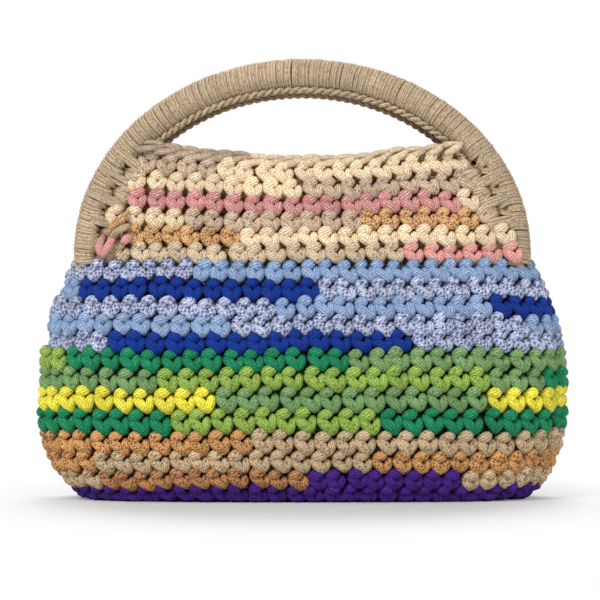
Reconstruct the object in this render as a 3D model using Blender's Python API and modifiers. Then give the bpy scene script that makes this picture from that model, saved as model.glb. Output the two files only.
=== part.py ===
"""Crocheted handbag with two arched handles, in coloured cords.

The body is worked in rounds, each one cord high, and every change of colour is another cord.
A front and a back panel rise from the shoulder round inside two arches of wrapped rod.
Metres, +Z up, the front faces -Y, and the origin is under the middle of the base.
"""
import math

import bmesh
import bpy

# Fit between pieces that touch
GAP = 0.0003

# Body, measured over the crests of its stitches
BELLY_HALF_WIDTH = 0.140
SHOULDER_HALF_WIDTH = 0.122
FLOOR_HALF_WIDTH = 0.1195
BELLY_HALF_DEPTH = 0.050
SHOULDER_HALF_DEPTH = 0.034
FLOOR_HALF_DEPTH = 0.039
BELLY_LEVEL = 0.055
ROUND_HEIGHT = 0.0097
LOWEST_ROUND_HEIGHT = 0.0058
SHOULDER_CURVE = 2.1
FLOOR_CURVE = 2.5

# How boxy the outline is from above: 2 is an ellipse, and more is squarer
BELLY_SQUARENESS = 2.6
SHOULDER_SQUARENESS = 3.5
FLOOR_SQUARENESS = 3.0

# Fabric
STITCH_WIDTH = 0.0102
STITCH_DEPTH = 0.0072
JOIN_DEPTH = 0.0042
BASE_DEPTH = 0.0050
BASE_DROP = 0.0008
BASE_BEVEL = 0.0012

# Panels inside the handles
PANEL_ROW_HEIGHT = 0.0095
RIM_CORD_RADIUS = 0.0034
RIM_SAG = 0.0060
RIM_BOW = 0.0060

# Handles
ROD_RADIUS = 0.0050
WRAP_DEPTH = 0.0027
RIB_DEPTH = 0.0007
RIB_PITCH = 0.0180
HANDLE_INSET = 0.0099
ARCH_SPRING = 0.0060
ARCH_RISE = 0.0941
ARCH_TOP_GAP = 0.0120
EDGE_CORD_RADIUS = 0.0018
EDGE_TILT = math.radians(20.0)
LINK_WAIST = 0.7

# How finely the curves are divided
OUTLINE_STEPS = 720
ARCH_STEPS = 240
ROD_STEPS = 16
ROD_SIDES = 6
WRAP_SIDES = 8
CHAIN_SIDES = 4
RIM_SIDES = 6
STITCHES_PER_POINT = 2
WELD_DISTANCE = 0.00001

# Where a cord's crest lies in its stitch, as shares of the stitch's height and depth
VALLEY_LEVEL = 0.80
VALLEY_DEPTH = 0.78
CREST_LEVEL = 0.32
CREST_DEPTH = 1.0

FRONT = -1
BACK = 1

# Each round from the shoulder down: its cords, and where each one starts, as a face of the bag
# and a share of the half width. The rounds run left to right over the front, then back behind.
ROUND_CORDS = (
    (("light_blue", FRONT, -0.48), ("mottled", BACK, 0.25)),
    (("royal_blue", FRONT, -0.91), ("mottled", FRONT, 0.06), ("light_blue", BACK, -0.30)),
    (("light_blue", FRONT, -0.10), ("royal_blue", FRONT, 0.76), ("mottled", BACK, 0.10)),
    (("mottled", FRONT, -0.28), ("light_blue", FRONT, 0.94)),
    (("royal_blue", FRONT, -0.69), ("mottled", FRONT, 0.43)),
    (("emerald", FRONT, -0.91), ("sage", FRONT, 0.18), ("lime", BACK, 0.20)),
    (("lime", FRONT, -0.61), ("emerald", FRONT, 0.73), ("sage", BACK, -0.35)),
    (("sage", FRONT, -0.26), ("yellow", FRONT, 0.71)),
    (("lime", FRONT, -0.50), ("emerald", FRONT, 0.28)),
    (("beige", FRONT, -0.17), ("orange_brown", BACK, 0.40)),
    (("beige", FRONT, -0.83), ("orange", FRONT, 0.30), ("orange_brown", BACK, -0.10)),
    (("orange", FRONT, -0.82), ("purple", FRONT, 0.05), ("beige", FRONT, 0.65)),
    (("purple", FRONT, -1.0),),
)

# Each row of the front panel from the rim down: its cords, and where each one starts across it
PANEL_CORDS = (
    (("taupe", -1.0), ("cream", -0.45)),
    (("cream", -1.0), ("taupe", -0.04)),
    (("pink", -1.0),),
    (("cream", -1.0), ("taupe", -0.64), ("orange", 0.24)),
    (("orange", -1.0), ("cream", -0.27)),
    (("tan", -1.0), ("coral", 0.49)),
)
BACK_PANEL_CORDS = ("cream", "taupe", "pink", "orange", "cream", "tan")
RIM_CORDS = (("taupe", -1.0), ("cream", -0.45))

# Colours, linear
CORD_COLOURS = {
    "tan": (0.66, 0.51, 0.36),
    "cream": (0.88, 0.70, 0.46),
    "taupe": (0.62, 0.46, 0.33),
    "pink": (0.80, 0.48, 0.40),
    "coral": (0.78, 0.42, 0.34),
    "orange": (0.70, 0.36, 0.17),
    "light_blue": (0.36, 0.50, 0.76),
    "mottled": (0.60, 0.60, 0.76),
    "royal_blue": (0.005, 0.03, 0.30),
    "emerald": (0.01, 0.20, 0.09),
    "sage": (0.18, 0.34, 0.12),
    "lime": (0.31, 0.45, 0.08),
    "yellow": (0.84, 0.74, 0.05),
    "beige": (0.54, 0.40, 0.25),
    "orange_brown": (0.60, 0.31, 0.12),
    "purple": (0.07, 0.025, 0.18),
}
ROD_COLOUR = (0.52, 0.36, 0.20)
ROD_ROUGHNESS = 0.6
CORD_ROUGHNESS = 0.85

SHOULDER_LEVEL = BASE_DROP + LOWEST_ROUND_HEIGHT + (len(ROUND_CORDS) - 1) * ROUND_HEIGHT
PANEL_HEIGHT = len(PANEL_CORDS) * PANEL_ROW_HEIGHT
WRAP_RADIUS = ROD_RADIUS + GAP + WRAP_DEPTH
FOOT_LEVEL = SHOULDER_LEVEL + GAP
FOOT_HALF_WIDTH = SHOULDER_HALF_WIDTH - HANDLE_INSET
SPRING_LEVEL = FOOT_LEVEL + ARCH_SPRING
TOP_LEVEL = SPRING_LEVEL + ARCH_RISE
EDGE_REACH = WRAP_RADIUS + GAP + EDGE_CORD_RADIUS
PANEL_INSET = EDGE_REACH * math.cos(EDGE_TILT) + EDGE_CORD_RADIUS + GAP
PANEL_FORWARD = EDGE_REACH * math.sin(EDGE_TILT)


def cord_material(name):
    """A matt material in one cord's colour, or the wooden rod's."""
    material = bpy.data.materials.get(name)
    if material is None:
        material = bpy.data.materials.new(name)
        material.use_nodes = True
        shader = material.node_tree.nodes["Principled BSDF"]
        shader.inputs["Base Color"].default_value = (*CORD_COLOURS.get(name, ROD_COLOUR), 1.0)
        shader.inputs["Roughness"].default_value = CORD_ROUGHNESS if name in CORD_COLOURS else ROD_ROUGHNESS
        shader.inputs["Metallic"].default_value = 0.0
    return material


def add_object(name, data, collection, material):
    """Link new mesh or curve data as a named object with its material."""
    piece = bpy.data.objects.new(name, data)
    collection.objects.link(piece)
    if material:
        data.materials.append(cord_material(material))
    return piece


def blend(start, end, share):
    return start + (end - start) * share


def rise_share(level):
    """0 at the belly, and 1 at the shoulder or at the floor."""
    if level >= BELLY_LEVEL:
        return (level - BELLY_LEVEL) / (SHOULDER_LEVEL - BELLY_LEVEL)
    return (BELLY_LEVEL - level) / BELLY_LEVEL


def outline_sizes(level):
    """Half width, half depth and squareness of the body at a level, over its stitches."""
    share = rise_share(level)
    if level >= BELLY_LEVEL:
        curved = share ** SHOULDER_CURVE
        ends = (SHOULDER_HALF_WIDTH, SHOULDER_HALF_DEPTH, SHOULDER_SQUARENESS)
    else:
        curved = share ** FLOOR_CURVE
        ends = (FLOOR_HALF_WIDTH, FLOOR_HALF_DEPTH, FLOOR_SQUARENESS)
    middle = (BELLY_HALF_WIDTH, BELLY_HALF_DEPTH, BELLY_SQUARENESS)
    return tuple(blend(a, b, curved) for a, b in zip(middle, ends))


def body_point(angle, level, inset):
    """A point of the body, an inset behind its outer outline, at an angle round the bag."""
    half_width, half_depth, squareness = outline_sizes(level)
    half_width -= inset
    half_depth -= inset
    across = abs(math.cos(angle)) / half_width
    deep = abs(math.sin(angle)) / half_depth
    radius = (across ** squareness + deep ** squareness) ** (-1.0 / squareness)
    return (radius * math.cos(angle), radius * math.sin(angle), level)


def outline_table(level):
    """Angles round the body from its left side, and the way walked to each one."""
    angles = []
    walked = []
    total = 0.0
    last = None
    for step in range(OUTLINE_STEPS + 1):
        angle = math.pi + math.tau * step / OUTLINE_STEPS
        point = body_point(angle, level, 0.0)
        if last:
            total += math.dist(point, last)
        angles.append(angle)
        walked.append(total)
        last = point
    return angles, walked


def look_up(value, keys, results):
    """The result at a value, between the two keys on either side of it."""
    low = 0
    high = len(keys) - 1
    while high - low > 1:
        middle = (low + high) // 2
        if keys[middle] <= value:
            low = middle
        else:
            high = middle
    share = (value - keys[low]) / (keys[high] - keys[low])
    return blend(results[low], results[high], share)


def round_measures(level):
    """How many stitches a round has, their exact width, and the angle at a place in stitches."""
    angles, walked = outline_table(level)
    stitches = round(walked[-1] / STITCH_WIDTH)
    pitch = walked[-1] / stitches

    def angle_at(place):
        return look_up((place * pitch) % walked[-1], walked, angles)

    def place_at(angle):
        return look_up(angle, angles, walked) / pitch

    return stitches, pitch, angle_at, place_at


def start_angle(face, share, level):
    """The angle round the bag of a place on its front or back face."""
    half_width, half_depth, squareness = outline_sizes(level)
    across = share * half_width
    deep = half_depth * (1.0 - abs(share) ** squareness) ** (1.0 / squareness)
    angle = math.atan2(face * deep, across) % math.tau
    return angle if angle >= math.pi else angle + math.tau


def spread(start, end, step):
    """Places from start to end, evenly, about a step apart."""
    count = max(1, round((end - start) / step))
    return [blend(start, end, index / count) for index in range(count + 1)]


def crest_places(start, end):
    """Places of the valleys and crests along a row, two for each stitch, and which is which."""
    halves = max(2, 2 * round(end - start))
    return [(blend(start, end, index / halves), index % 2 == 1) for index in range(halves + 1)]


def face_outwards(mesh):
    """Turn all the faces of a closed body to point out of it."""
    bmesh.ops.recalc_face_normals(mesh, faces=mesh.faces)
    if mesh.calc_volume(signed=True) < 0.0:
        bmesh.ops.reverse_faces(mesh, faces=mesh.faces)


def lace(mesh, lower, upper):
    """Fill the strip between two lines of (place, vertex) that need not have as many points."""
    low = 0
    up = 0
    while low < len(lower) - 1 or up < len(upper) - 1:
        no_upper = up == len(upper) - 1
        if no_upper or (low < len(lower) - 1 and lower[low + 1][0] <= upper[up + 1][0]):
            mesh.faces.new((lower[low][1], lower[low + 1][1], upper[up][1]))
            low += 1
        else:
            mesh.faces.new((lower[low][1], upper[up + 1][1], upper[up][1]))
            up += 1


def stitched_row(name, collection, material, start, end, place_point, closed=False):
    """One cord worked along a row: a smooth lining, and a zigzag of stitches outside.

    place_point(place, level share, depth share) gives the row's points, with places in stitches.
    """
    mesh = bmesh.new()

    def line(places):
        row = [(place, mesh.verts.new(place_point(place, level, depth))) for place, level, depth in places]
        if closed:
            mesh.verts.remove(row[-1][1])
            row[-1] = (row[-1][0], row[0][1])
        return row

    places = spread(start, end, STITCHES_PER_POINT)
    crests = [
        (place, CREST_LEVEL, CREST_DEPTH) if is_crest else (place, VALLEY_LEVEL, VALLEY_DEPTH)
        for place, is_crest in crest_places(start, end)
    ]
    join_share = JOIN_DEPTH / STITCH_DEPTH
    lines = [
        line([(place, 0.0, join_share) for place in places]),
        line(crests),
        line([(place, 1.0, join_share) for place in places]),
        line([(place, 1.0, 0.0) for place in places]),
        line([(place, 0.0, 0.0) for place in places]),
    ]
    for index, lower in enumerate(lines):
        lace(mesh, lower, lines[(index + 1) % len(lines)])
    if not closed:
        mesh.faces.new([row[0][1] for row in lines])
        mesh.faces.new([row[-1][1] for row in reversed(lines)])
    face_outwards(mesh)
    data = bpy.data.meshes.new(name)
    mesh.to_mesh(data)
    mesh.free()
    return add_object(name, data, collection, material)


def body_round(index, cords, collection):
    """The cords of one round of the body, end to end, counted from the shoulder."""
    top = SHOULDER_LEVEL - index * ROUND_HEIGHT
    lowest = index == len(ROUND_CORDS) - 1
    low = top - (LOWEST_ROUND_HEIGHT if lowest else ROUND_HEIGHT)
    middle = 0.5 * (top + low)
    stitches, pitch, angle_at, place_at = round_measures(middle)

    def place_point(place, level_share, depth_share):
        level = blend(low + GAP / 2, top - GAP / 2, level_share)
        return body_point(angle_at(place), level, STITCH_DEPTH * (1.0 - depth_share))

    starts = [round(place_at(start_angle(face, share, middle))) for cord, face, share in cords]
    for number, (cord, face, share) in enumerate(cords):
        name = f"round_{index + 1:02d}_{cord}"
        if len(cords) == 1:
            stitched_row(name, collection, cord, 0, stitches, place_point, closed=True)
            continue
        start = starts[number] + GAP / 2 / pitch
        end = starts[(number + 1) % len(cords)] - GAP / 2 / pitch
        if end < start:
            end += stitches
        stitched_row(name, collection, cord, start, end, place_point)


def base(collection):
    """The flat base, inside the lowest round and cornered where that round's lining is."""
    stitches, _, angle_at, _ = round_measures(BASE_DROP + LOWEST_ROUND_HEIGHT / 2)
    outline = []
    for place in spread(0, stitches, STITCHES_PER_POINT)[:-1]:
        x, y, _ = body_point(angle_at(place), BASE_DROP, STITCH_DEPTH + GAP)
        outline.append((x, y, 0.0, 1.0))
    curve = bpy.data.curves.new("base", "CURVE")
    curve.dimensions = "2D"
    curve.fill_mode = "BOTH"
    curve.extrude = BASE_DEPTH / 2
    spline = curve.splines.new("POLY")
    spline.points.add(len(outline) - 1)
    for point, place in zip(spline.points, outline):
        point.co = place
    spline.use_cyclic_u = True
    piece = add_object("base", curve, collection, None)
    piece.location.z = BASE_DEPTH / 2
    piece = curve_to_mesh(piece, collection, "purple")
    bevel = piece.modifiers.new("rounded edge", "BEVEL")
    bevel.width = BASE_BEVEL
    bevel.segments = 1
    bevel.limit_method = "ANGLE"
    return piece


def curve_to_mesh(piece, collection, material):
    """A mesh object in a curve's place, with its caps welded on."""
    name = piece.name
    bpy.context.view_layer.update()
    evaluated = piece.evaluated_get(bpy.context.evaluated_depsgraph_get())
    data = bpy.data.meshes.new_from_object(evaluated)
    matrix = piece.matrix_world.copy()
    mesh = bmesh.new()
    mesh.from_mesh(data)
    bmesh.ops.remove_doubles(mesh, verts=mesh.verts, dist=WELD_DISTANCE)
    face_outwards(mesh)
    mesh.to_mesh(data)
    mesh.free()
    curve = piece.data
    bpy.data.objects.remove(piece)
    bpy.data.curves.remove(curve)
    data.materials.clear()
    made = add_object(name, data, collection, material)
    made.matrix_world = matrix
    return made


def tube(name, collection, material, points, radius, radii, sides):
    """A capped tube along points, its radius times each point's own share."""
    curve = bpy.data.curves.new(name, "CURVE")
    curve.dimensions = "3D"
    curve.bevel_depth = radius
    curve.bevel_resolution = (sides - 4) // 2
    curve.use_fill_caps = True
    spline = curve.splines.new("POLY")
    spline.points.add(len(points) - 1)
    for point, place, share in zip(spline.points, points, radii):
        point.co = (*place, 1.0)
        point.radius = share
    return add_object(name, curve, collection, material)


def even_points(points, count):
    """As many points, evenly apart along a line of points."""
    walked = [0.0]
    for first, second in zip(points, points[1:]):
        walked.append(walked[-1] + math.dist(first, second))
    places = [walked[-1] * index / (count - 1) for index in range(count)]
    columns = list(zip(*points))
    return [tuple(look_up(place, walked, column) for column in columns) for place in places]


def point_beyond(start, end, reach):
    """The point that lies a reach past the end of a straight line."""
    share = 1.0 + reach / math.dist(start, end)
    return tuple(blend(first, second, share) for first, second in zip(start, end))


def path_length(points):
    return sum(math.dist(first, second) for first, second in zip(points, points[1:]))


def foot_half_spread():
    """How far a handle's foot is from the middle plane: over the shoulder round's wall."""
    half_width = SHOULDER_HALF_WIDTH - STITCH_DEPTH + JOIN_DEPTH / 2
    half_depth = SHOULDER_HALF_DEPTH - STITCH_DEPTH + JOIN_DEPTH / 2
    share = FOOT_HALF_WIDTH / half_width
    return half_depth * (1.0 - share ** SHOULDER_SQUARENESS) ** (1.0 / SHOULDER_SQUARENESS)


def handle_spread(level):
    """How far a handle's middle line is from the middle plane at a level: it leans in."""
    top = ARCH_TOP_GAP / 2 + WRAP_RADIUS
    share = (level - FOOT_LEVEL) / (TOP_LEVEL - FOOT_LEVEL)
    return blend(foot_half_spread(), top, share)


def arch_outline(inset):
    """A line inside the handle's arch, from its left foot to its right one, as (x, level)."""
    line = [(-(FOOT_HALF_WIDTH - inset), FOOT_LEVEL)]
    for step in range(ARCH_STEPS + 1):
        turn = math.pi - math.pi * step / ARCH_STEPS
        normal_x = math.cos(turn) / FOOT_HALF_WIDTH
        normal_z = math.sin(turn) / ARCH_RISE
        size = math.hypot(normal_x, normal_z)
        x = FOOT_HALF_WIDTH * math.cos(turn) - inset * normal_x / size
        level = SPRING_LEVEL + ARCH_RISE * math.sin(turn) - inset * normal_z / size
        line.append((x, level))
    line.append((FOOT_HALF_WIDTH - inset, FOOT_LEVEL))
    return line


def arch_points(face, inset, forward, count):
    """Points along a handle, or along a line inside it and forward of it."""
    line = arch_outline(inset)
    points = [(x, face * (handle_spread(level) + forward), level) for x, level in line]
    return even_points(points, count)


def wrapped_handle(face, side, collection, cutters):
    """A bent rod, the cord wrapped round it, and the cord along its inner edge."""
    rod_points = arch_points(face, 0.0, 0.0, ROD_STEPS + 1)
    even = [1.0] * len(rod_points)
    tube(f"handle_{side}_rod", collection, "rod", rod_points, ROD_RADIUS, even, ROD_SIDES)

    ribs = round(path_length(rod_points) / RIB_PITCH)
    wrap_points = arch_points(face, 0.0, 0.0, 2 * ribs + 1)
    valley = 1.0 - RIB_DEPTH / WRAP_RADIUS
    ribbed = [valley if index % 2 == 0 else 1.0 for index in range(len(wrap_points))]
    wrap = tube(f"handle_{side}_wrap", collection, None, wrap_points, WRAP_RADIUS, ribbed, WRAP_SIDES)
    wrap = curve_to_mesh(wrap, collection, "tan")
    bore_points = list(rod_points)
    bore_points[0] = point_beyond(rod_points[1], rod_points[0], ROD_RADIUS)
    bore_points[-1] = point_beyond(rod_points[-2], rod_points[-1], ROD_RADIUS)
    bore = tube(f"handle_{side}_bore", cutters, None, bore_points, ROD_RADIUS + GAP, even, ROD_SIDES)
    bore = curve_to_mesh(bore, cutters, None)
    bore.hide_render = True
    bore.display_type = "WIRE"
    cut = wrap.modifiers.new("room for the rod", "BOOLEAN")
    cut.operation = "DIFFERENCE"
    cut.object = bore

    edge_inset = EDGE_REACH * math.cos(EDGE_TILT)
    edge_points = arch_points(face, edge_inset, PANEL_FORWARD, 2 * ribs + 1)
    links = ribbed_links(edge_points)
    tube(f"handle_{side}_edge", collection, "tan", edge_points, EDGE_CORD_RADIUS, links, CHAIN_SIDES)


def ribbed_links(points):
    """Full at every link's middle and slimmer between links."""
    return [LINK_WAIST if index % 2 == 0 else 1.0 for index in range(len(points))]


def arch_half_width(level, inset):
    """Half the clear width inside the arch at a level."""
    right = [place for place in arch_outline(inset) if place[0] > 0]
    for (x, z), (next_x, next_z) in zip(right, right[1:]):
        if next_z <= level <= z:
            return blend(x, next_x, (level - z) / (next_z - z)) if z > next_z else x
    return FOOT_HALF_WIDTH - inset


def panel_level(rise, across):
    """The level of a panel's line: it sags in the middle, more the higher it is."""
    sag = RIM_SAG * (rise / PANEL_HEIGHT) * (1.0 - across * across)
    return FOOT_LEVEL + rise - sag


def panel_point(face, rise, across, inset):
    """A point of a panel by its height over the shoulder and its place from side to side."""
    end_level = FOOT_LEVEL + rise
    half_width = arch_half_width(end_level, PANEL_INSET)
    end_spread = handle_spread(end_level) + PANEL_FORWARD
    foot_bow = SHOULDER_HALF_DEPTH - handle_spread(FOOT_LEVEL) - PANEL_FORWARD - STITCH_DEPTH / 2
    bow = blend(foot_bow, RIM_BOW, rise / PANEL_HEIGHT)
    spread_here = end_spread + bow * (1.0 - abs(across) ** SHOULDER_SQUARENESS)
    return (across * half_width, face * (spread_here + STITCH_DEPTH / 2 - inset), panel_level(rise, across))


def panel_row(face, side, index, cords, collection):
    """The cords of one row of a panel, side by side, counted from the rim."""
    top = PANEL_HEIGHT - index * PANEL_ROW_HEIGHT
    low = top - PANEL_ROW_HEIGHT
    half_width = arch_half_width(FOOT_LEVEL + 0.5 * (top + low), PANEL_INSET)
    stitches = round(2 * half_width / STITCH_WIDTH)

    def place_point(place, level_share, depth_share):
        rise = blend(low + GAP / 2, top - GAP / 2, level_share)
        across = 2.0 * place / stitches - 1.0
        return panel_point(face, rise, across, STITCH_DEPTH * (1.0 - depth_share))

    starts = [round(0.5 * (share + 1.0) * stitches) for cord, share in cords] + [stitches]
    between = GAP / 2 / (2 * half_width) * stitches
    for number, (cord, share) in enumerate(cords):
        name = f"panel_{side}_row_{index + 1}_{cord}"
        start = starts[number] + between
        end = starts[number + 1] - between
        stitched_row(name, collection, cord, start, end, place_point)


def rim(face, side, cords, collection):
    """The linked cord along the top of a panel, thicker in the middle of each link."""
    rise = PANEL_HEIGHT + RIM_CORD_RADIUS
    end_level = FOOT_LEVEL + rise + RIM_CORD_RADIUS
    half_width = arch_half_width(end_level, PANEL_INSET)
    row_half_width = arch_half_width(FOOT_LEVEL + PANEL_HEIGHT, PANEL_INSET)
    links = round(2 * half_width / STITCH_WIDTH)
    starts = [round(0.5 * (share + 1.0) * links) for cord, share in cords] + [links]
    for number, (cord, share) in enumerate(cords):
        points = []
        first = starts[number]
        last = starts[number + 1]
        for index in range(2 * (last - first) + 1):
            place = min(max(first + index / 2, first + GAP / STITCH_WIDTH), last - GAP / STITCH_WIDTH)
            x = (2.0 * place / links - 1.0) * half_width
            across = x / row_half_width
            y = panel_point(face, PANEL_HEIGHT, across, STITCH_DEPTH / 2)[1]
            points.append((x, y, panel_level(PANEL_HEIGHT, across) + RIM_CORD_RADIUS))
        thickness = ribbed_links(points)
        tube(f"rim_{side}_{cord}", collection, cord, points, RIM_CORD_RADIUS, thickness, RIM_SIDES)


def build():
    for old in list(bpy.data.objects):
        bpy.data.objects.remove(old)
    bag = bpy.data.collections.new("crocheted handbag")
    cutters = bpy.data.collections.new("cutters")
    for collection in (bag, cutters):
        bpy.context.scene.collection.children.link(collection)

    base(bag)
    for index, cords in enumerate(ROUND_CORDS):
        body_round(index, cords, bag)
    for face, side in ((FRONT, "front"), (BACK, "back")):
        wrapped_handle(face, side, bag, cutters)
        for index, cords in enumerate(PANEL_CORDS):
            if face == BACK:
                cords = ((BACK_PANEL_CORDS[index], -1.0),)
            panel_row(face, side, index, cords, bag)
        rim(face, side, RIM_CORDS if face == FRONT else (("cream", -1.0),), bag)


build()
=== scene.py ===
"""Looks of the crocheted handbag: every stitch, wrap and chain link as a knitted cord of its own."""
import math

import bpy
import numpy as np
from mathutils.kdtree import KDTree
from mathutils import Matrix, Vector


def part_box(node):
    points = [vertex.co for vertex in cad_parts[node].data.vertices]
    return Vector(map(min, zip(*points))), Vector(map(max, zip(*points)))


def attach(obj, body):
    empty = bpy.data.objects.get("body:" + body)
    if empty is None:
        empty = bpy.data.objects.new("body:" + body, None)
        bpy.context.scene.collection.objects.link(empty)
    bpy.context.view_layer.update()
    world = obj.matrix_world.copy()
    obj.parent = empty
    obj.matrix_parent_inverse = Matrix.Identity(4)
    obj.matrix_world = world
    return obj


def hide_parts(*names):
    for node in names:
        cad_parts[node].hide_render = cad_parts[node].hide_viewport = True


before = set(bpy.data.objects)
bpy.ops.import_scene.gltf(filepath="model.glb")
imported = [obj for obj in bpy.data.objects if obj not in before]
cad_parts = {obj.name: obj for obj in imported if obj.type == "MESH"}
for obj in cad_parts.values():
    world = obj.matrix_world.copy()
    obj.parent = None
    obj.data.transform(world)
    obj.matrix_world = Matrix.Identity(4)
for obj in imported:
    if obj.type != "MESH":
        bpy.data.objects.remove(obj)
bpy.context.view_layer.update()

MM = 0.001
RANDOM = np.random.default_rng(7)

# The body's outline over its stitches, as the solids have it
BELLY = (0.140, 0.050, 2.6)
SHOULDER = (0.122, 0.034, 3.5)
FLOOR = (0.1195, 0.039, 3.0)
BELLY_LEVEL = 0.055
SHOULDER_CURVE = 2.1
FLOOR_CURVE = 2.5
FLOOR_ROUND = 0.0120
FLOOR_TUCK = 0.0060
ROUNDS = 13
STITCH_DEPTH = 0.0072

# Rounds and rows
STITCHES_A_ROUND = 60
ROUND_SLIP = 0.155
OUTLINE_STEPS = 1440
PANEL_ROWS = 6
PANEL_STITCH = 0.0102

# The panels' rows, in stitches: where each starts, and how far one in front runs past its right edge
ROW_STARTS = (0.20, 0.30, 0.80, 0.10, 1.14, 0.54)
ROW_OVERRUNS = (0.1, 0.1, 0.1, 0.1, 1.5, 1.4)

# Rows whose ends lie over the handle, left and right, and how far forward they lie there
LIFTED_ROWS = ((3, 4), (4, 5))
ROW_END_LIFT = 0.0045

# Handles
WRAP_RADIUS = 0.0080
ARCH_SPRING = 0.0060
ARCH_STEPS = 400
FOOT_SINK = 0.0065
FOOT_TUCK = 0.0030
FOOT_TAPER = 0.55
EDGE_REACH = 0.0101
EDGE_TILT = math.radians(20.0)
EDGE_RADIUS = 0.0018
TOUCH = 0.0003
RIM_SAG = 0.0060
RIM_BOW = 0.0060
RIM_RADIUS = 0.0034

FRONT = -1
BACK = 1

# The stitch that the paths below are drawn for
STITCH_WIDTH = 0.0096
STITCH_HEIGHT = 0.0095

# Paths in one stitch, in mm: across, up, and out from the outline, then the cord's radius there
LEFT_LEG = (
    (-4.4, 2.3, -6.0, 1.8), (-3.9, 1.7, -3.4, 2.2), (-2.4, 0.5, -2.3, 2.6),
    (-0.6, -1.3, -2.2, 2.6), (0.8, -2.9, -3.2, 2.2), (1.3, -3.8, -5.8, 1.5),
)
RIGHT_LEG = (
    (2.6, 2.4, -5.8, 1.8), (2.8, 1.6, -3.4, 2.2), (2.6, 0.1, -2.6, 2.4),
    (2.2, -1.5, -2.7, 2.2), (1.8, -3.0, -4.0, 1.9), (1.6, -3.9, -6.2, 1.4),
)
NUB = (
    (-4.0, 3.8, -5.8, 1.9), (-3.2, 4.1, -3.4, 2.5), (-1.7, 4.7, -2.1, 2.9),
    (-0.2, 5.3, -2.9, 2.6), (0.7, 5.8, -5.8, 1.8),
)
BUMP_SPOTS = ((-5.4, -6.8, 2.0), (-2.6, -7.2, 2.3), (0.0, -7.4, 2.4), (2.6, -7.2, 2.3), (5.4, -6.8, 2.0))
LOW_BUMP = tuple((across, -2.5, out, radius) for across, out, radius in BUMP_SPOTS)
HIGH_BUMP = tuple((across, 2.4, out, radius) for across, out, radius in BUMP_SPOTS)

# How full the cord lies in a stitch, as a share of the radii above
CORD_FULLNESS = 1.04

# Cords: colour, fleck colour and how many flecks
CORDS = {
    "tan": ((0.66, 0.53, 0.37), (0.24, 0.16, 0.09), 0.20),
    "cream": ((0.86, 0.69, 0.475), (0.60, 0.42, 0.22), 0.10),
    "taupe": ((0.60, 0.46, 0.335), (0.24, 0.16, 0.10), 0.20),
    "pink": ((0.615, 0.29, 0.27), (0.80, 0.55, 0.50), 0.30),
    "coral": ((0.76, 0.38, 0.335), (0.88, 0.55, 0.45), 0.25),
    "orange": ((0.68, 0.41, 0.20), (0.16, 0.06, 0.02), 0.50),
    # Round 11's orange stitches take orange_brown and round 12's take dark_orange, darker as painted shade
    # towards the bottom
    "dark_orange": ((0.50, 0.25, 0.11), (0.08, 0.03, 0.015), 0.50),
    "light_blue": ((0.285, 0.40, 0.60), (0.50, 0.60, 0.75), 0.25),
    "mottled": ((0.47, 0.51, 0.66), (0.03, 0.05, 0.20), 0.80, 9.0, 640.0),
    "royal_blue": ((0.002, 0.038, 0.27), (0.02, 0.06, 0.40), 0.25),
    "emerald": ((0.012, 0.245, 0.11), (0.05, 0.40, 0.22), 0.20),
    "sage": ((0.215, 0.365, 0.15), (0.08, 0.18, 0.06), 0.20),
    "lime": ((0.33, 0.48, 0.10), (0.10, 0.20, 0.03), 0.25),
    "yellow": ((0.88, 0.79, 0.085), (0.60, 0.48, 0.02), 0.15),
    "beige": ((0.59, 0.445, 0.28), (0.20, 0.12, 0.06), 0.30),
    "orange_brown": ((0.63, 0.34, 0.135), (0.10, 0.04, 0.02), 0.50),
    "purple": ((0.070, 0.016, 0.235), (0.03, 0.01, 0.08), 0.25),
}
THIN_TAN = ((0.50, 0.385, 0.262), (0.24, 0.16, 0.09), 0.10)

# Nodes low on the bag whose orange cord is painted darker than the others of its colour, as painted shade
# towards the bottom
BOTTOM_SHADE_CORDS = {"round_11_orange": "orange_brown", "round_12_orange": "dark_orange"}


def joined_box(names):
    """Lowest and highest corner of several CAD nodes together."""
    boxes = [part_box(name) for name in names]
    low = [min(box[0][axis] for box in boxes) for axis in range(3)]
    high = [max(box[1][axis] for box in boxes) for axis in range(3)]
    return low, high


def nodes_named(start):
    """The CAD nodes whose names start so, in order."""
    return sorted(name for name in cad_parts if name.startswith(start))


ROUND_BOXES = [joined_box(nodes_named(f"round_{number:02d}_")) for number in range(1, ROUNDS + 1)]
SHOULDER_LEVEL = ROUND_BOXES[0][1][2]
FLOOR_LEVEL = ROUND_BOXES[-1][0][2]
WRAP_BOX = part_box("handle_front_wrap")
FOOT_LEVEL = WRAP_BOX[0].z
FOOT_HALF_WIDTH = WRAP_BOX[1].x - WRAP_RADIUS
FOOT_SPREAD = -WRAP_BOX[0].y - WRAP_RADIUS
TOP_SPREAD = -WRAP_BOX[1].y + WRAP_RADIUS
TOP_LEVEL = WRAP_BOX[1].z - WRAP_RADIUS
SPRING_LEVEL = FOOT_LEVEL + ARCH_SPRING
ARCH_RISE = TOP_LEVEL - SPRING_LEVEL
PANEL_TOP = joined_box(nodes_named("panel_front_row_1_"))[1][2]
PANEL_HEIGHT = PANEL_TOP - FOOT_LEVEL
PANEL_INSET = EDGE_REACH * math.cos(EDGE_TILT) + EDGE_RADIUS + TOUCH
PANEL_FORWARD = EDGE_REACH * math.sin(EDGE_TILT)


def outline_sizes(levels):
    """Half width, half depth and squareness of the body at each level."""
    above = np.clip((levels - BELLY_LEVEL) / (SHOULDER_LEVEL - BELLY_LEVEL), 0.0, 1.0) ** SHOULDER_CURVE
    below = np.clip((BELLY_LEVEL - levels) / BELLY_LEVEL, 0.0, 1.0) ** FLOOR_CURVE
    return tuple(
        middle + (top - middle) * above + (low - middle) * below
        for middle, top, low in zip(BELLY, SHOULDER, FLOOR)
    )


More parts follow.
